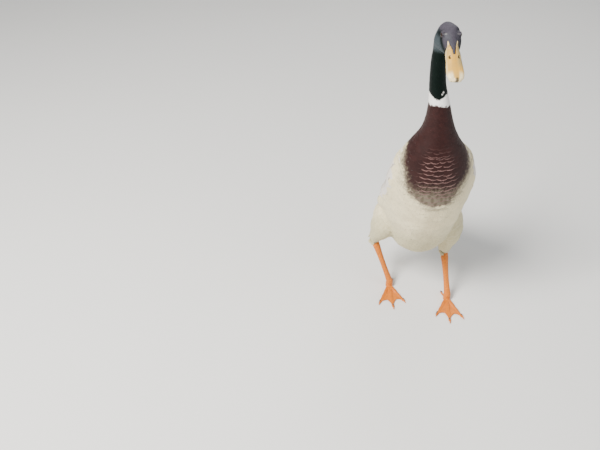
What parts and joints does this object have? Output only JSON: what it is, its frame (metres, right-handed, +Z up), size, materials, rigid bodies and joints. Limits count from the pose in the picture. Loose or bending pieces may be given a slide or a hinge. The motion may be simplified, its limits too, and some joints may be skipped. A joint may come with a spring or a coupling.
{
  "type": "indian runner duck",
  "caption": "Still, life-size Indian runner drake, upright on webbed feet, one foot behind the other, with folded wings and curled tail feathers.",
  "frame": {"origin": "on the floor under the middle of the duck's bounding box", "axes": "+Z up, the duck faces -Y, its left side is at +X"},
  "size_m": [0.1814, 0.369, 0.5757],
  "materials": {
    "head_green": "glossy dark green to black feathers, as cloth-like plumage",
    "claret": "soft claret-brown feathers with pale fringes",
    "cream": "soft cream-white feathers",
    "wing": "cream to grey-brown wing feathers",
    "tail": "dark grey-brown tail feathers",
    "bill": "yellow-tan horn with a satin surface",
    "eye": "wet, near black",
    "leg": "orange scaled skin"
  },
  "bodies": {
    "root": {"head": "head_green", "bill_upper": "bill", "bill_lower": "bill", "eye_left": "eye", "eye_right": "eye", "neck_upper": "head_green", "neck_lower": "claret", "torso": "cream", "wing_left": "wing", "wing_right": "wing", "tail": "tail", "thigh_left": "cream", "thigh_right": "cream", "shank_left": "leg", "shank_right": "leg", "foot_left": "leg", "foot_right": "leg"}
  },
  "joints": []
}
